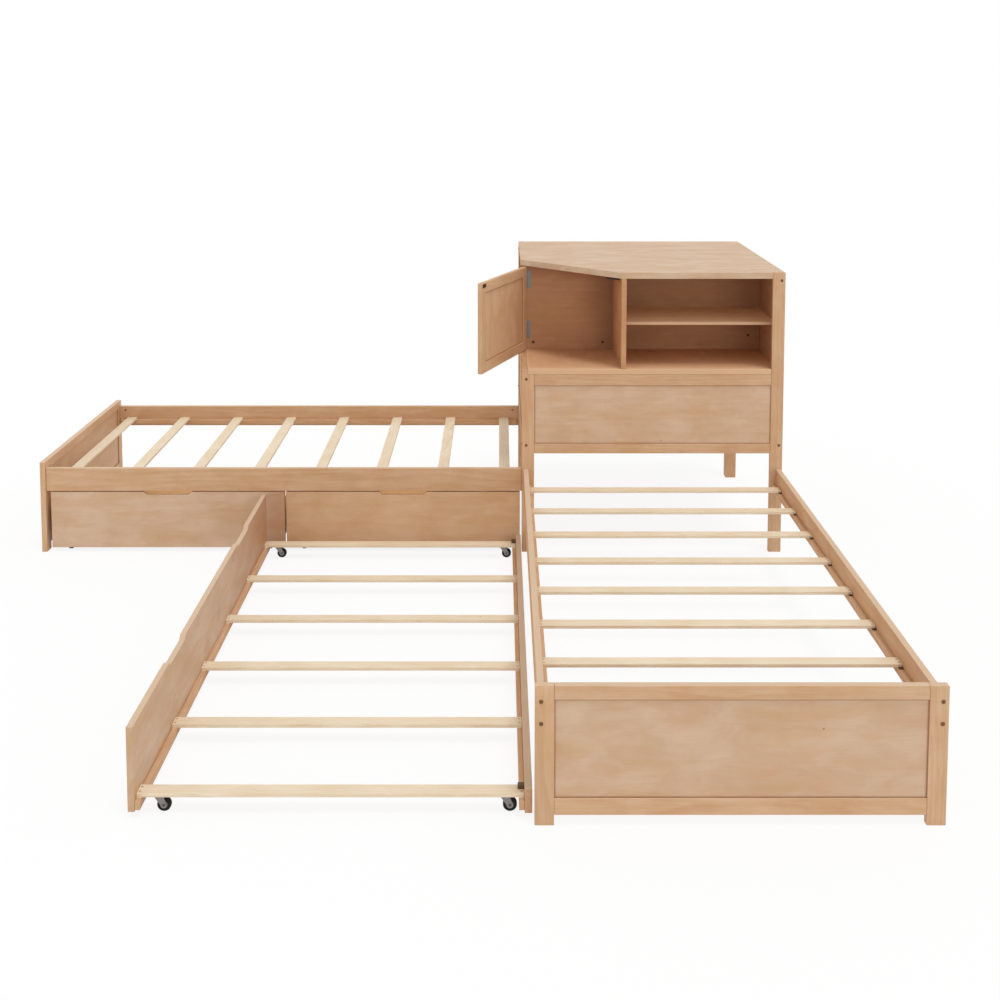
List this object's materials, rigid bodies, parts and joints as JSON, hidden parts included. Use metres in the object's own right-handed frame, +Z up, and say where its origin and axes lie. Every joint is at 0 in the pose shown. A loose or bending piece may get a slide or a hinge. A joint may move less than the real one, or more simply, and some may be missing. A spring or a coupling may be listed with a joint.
{
  "type": "l-shaped platform bed",
  "caption": "L-shaped platform bed: slatted beds joined at a corner bookcase with a door, a rolling trundle below one bed and rolling drawers below the other.",
  "frame": {"origin": "on the floor, below the middle of the outer box of the bed as pictured", "axes": "+Z up; +Y from the footboard of bed A towards its headboard; +X from bed B towards the corner bookcase"},
  "size_m": [3.025, 3.025, 1.154],
  "materials": {
    "timber": "satin clear varnish",
    "slat_timber": "planed, unvarnished",
    "drawer_timber": "satin clear varnish",
    "hinge_steel": "zinc plated",
    "castor_metal": "grey zinc",
    "castor_rubber": "matt",
    "bolt_bronze": "bronzed",
    "corner_plastic": "moulded"
  },
  "bodies": {
    "frame": {"bed_a_footboard_left_post": "timber", "bed_a_footboard_right_post": "timber", "bed_a_footboard_bottom_rail": "timber", "bed_a_footboard_top_rail": "timber", "bed_a_footboard_panel": "timber", "bed_a_left_side_rail": "timber", "bed_a_right_side_rail": "timber", "bed_a_slats_on_ledgers": "slat_timber", "bed_b_footboard_left_post": "timber", "bed_b_footboard_right_post": "timber", "bed_b_footboard_bottom_rail": "timber", "bed_b_footboard_top_rail": "timber", "bed_b_footboard_panel": "timber", "bed_b_left_side_rail": "timber", "bed_b_right_side_rail": "timber", "bed_b_slats_on_ledgers": "slat_timber", "corner_post": "timber", "back_corner_leg": "timber", "bed_a_headboard_right_post": "timber", "bed_a_headboard_bottom_rail": "timber", "bed_a_headboard_top_rail": "timber", "bed_a_headboard_panel": "timber", "bed_b_headboard_far_post": "timber", "bed_b_headboard_bottom_rail": "timber", "bed_b_headboard_top_rail": "timber", "bed_b_headboard_panel": "timber", "lower_board": "timber", "top_board": "timber", "front_divider": "timber", "cross_panel": "timber", "side_bookcase_back": "timber", "right_side_panel": "timber", "back_side_panel": "timber", "front_shelf": "timber", "side_shelf": "timber", "lower_hinge_leaf": "hinge_steel", "upper_hinge_leaf": "hinge_steel"},
    "trundle": {"trundle_front_panel": "timber", "trundle_inner_rail": "timber", "trundle_slats_on_ledgers": "slat_timber"},
    "fork_front_outer": {"castor_fork_front_outer": "castor_metal"},
    "fork_front_inner": {"castor_fork_front_inner": "castor_metal"},
    "fork_back_outer": {"castor_fork_back_outer": "castor_metal"},
    "fork_back_inner": {"castor_fork_back_inner": "castor_metal"},
    "wheel_front_outer": {"castor_wheel_front_outer": "castor_rubber"},
    "wheel_front_inner": {"castor_wheel_front_inner": "castor_rubber"},
    "wheel_back_outer": {"castor_wheel_back_outer": "castor_rubber"},
    "wheel_back_inner": {"castor_wheel_back_inner": "castor_rubber"},
    "left_drawer": {"left_drawer_front": "timber", "left_drawer_box": "drawer_timber"},
    "left_drawer_front_axle": {"left_drawer_front_wheels": "castor_rubber"},
    "left_drawer_back_axle": {"left_drawer_back_wheels": "castor_rubber"},
    "right_drawer": {"right_drawer_front": "timber", "right_drawer_box": "drawer_timber"},
    "right_drawer_front_axle": {"right_drawer_front_wheels": "castor_rubber"},
    "right_drawer_back_axle": {"right_drawer_back_wheels": "castor_rubber"},
    "door": {"door_frame": "timber", "door_panel": "timber", "door_lower_hinge_leaf": "hinge_steel", "door_upper_hinge_leaf": "hinge_steel"}
  },
  "joints": [
    {"name": "trundle_slide", "type": "slide", "parent": "frame", "child": "trundle", "axis": [1, 0, 0], "range_m": [0, 1.0644]},
    {"name": "swivel_front_outer", "type": "hinge", "parent": "trundle", "child": "fork_front_outer", "pos_m": [-0.5335, -1.4395, 0.04], "axis": [0, 0, 1], "continuous": true},
    {"name": "swivel_front_inner", "type": "hinge", "parent": "trundle", "child": "fork_front_inner", "pos_m": [0.3755, -1.4395, 0.04], "axis": [0, 0, 1], "continuous": true},
    {"name": "swivel_back_outer", "type": "hinge", "parent": "trundle", "child": "fork_back_outer", "pos_m": [-0.5335, 0.3955, 0.04], "axis": [0, 0, 1], "continuous": true},
    {"name": "swivel_back_inner", "type": "hinge", "parent": "trundle", "child": "fork_back_inner", "pos_m": [0.3755, 0.3955, 0.04], "axis": [0, 0, 1], "continuous": true},
    {"name": "spin_front_outer", "type": "hinge", "parent": "fork_front_outer", "child": "wheel_front_outer", "pos_m": [-0.5195, -1.4395, 0.0185], "axis": [0, 1, 0], "continuous": true},
    {"name": "spin_front_inner", "type": "hinge", "parent": "fork_front_inner", "child": "wheel_front_inner", "pos_m": [0.3895, -1.4395, 0.0185], "axis": [0, 1, 0], "continuous": true},
    {"name": "spin_back_outer", "type": "hinge", "parent": "fork_back_outer", "child": "wheel_back_outer", "pos_m": [-0.5195, 0.3955, 0.0185], "axis": [0, 1, 0], "continuous": true},
    {"name": "spin_back_inner", "type": "hinge", "parent": "fork_back_inner", "child": "wheel_back_inner", "pos_m": [0.3895, 0.3955, 0.0185], "axis": [0, 1, 0], "continuous": true},
    {"name": "left_drawer_slide", "type": "slide", "parent": "frame", "child": "left_drawer", "axis": [0, -1, 0], "range_m": [-0.45, 0.02]},
    {"name": "left_drawer_front_spin", "type": "hinge", "parent": "left_drawer", "child": "left_drawer_front_axle", "pos_m": [-0.995, 0.4969, 0.017], "axis": [1, 0, 0], "continuous": true},
    {"name": "left_drawer_back_spin", "type": "hinge", "parent": "left_drawer", "child": "left_drawer_back_axle", "pos_m": [-0.995, 0.8939, 0.017], "axis": [1, 0, 0], "continuous": true},
    {"name": "right_drawer_slide", "type": "slide", "parent": "frame", "child": "right_drawer", "axis": [0, -1, 0], "range_m": [-0.45, 0.02]},
    {"name": "right_drawer_front_spin", "type": "hinge", "parent": "right_drawer", "child": "right_drawer_front_axle", "pos_m": [-0.033, 0.4969, 0.017], "axis": [1, 0, 0], "continuous": true},
    {"name": "right_drawer_back_spin", "type": "hinge", "parent": "right_drawer", "child": "right_drawer_back_axle", "pos_m": [-0.033, 0.8939, 0.017], "axis": [1, 0, 0], "continuous": true},
    {"name": "door_hinge", "type": "hinge", "parent": "frame", "child": "door", "pos_m": [0.4645, 0.8415, 0.9], "axis": [0, 0, 1], "range_deg": [-40, 66]}
  ]
}
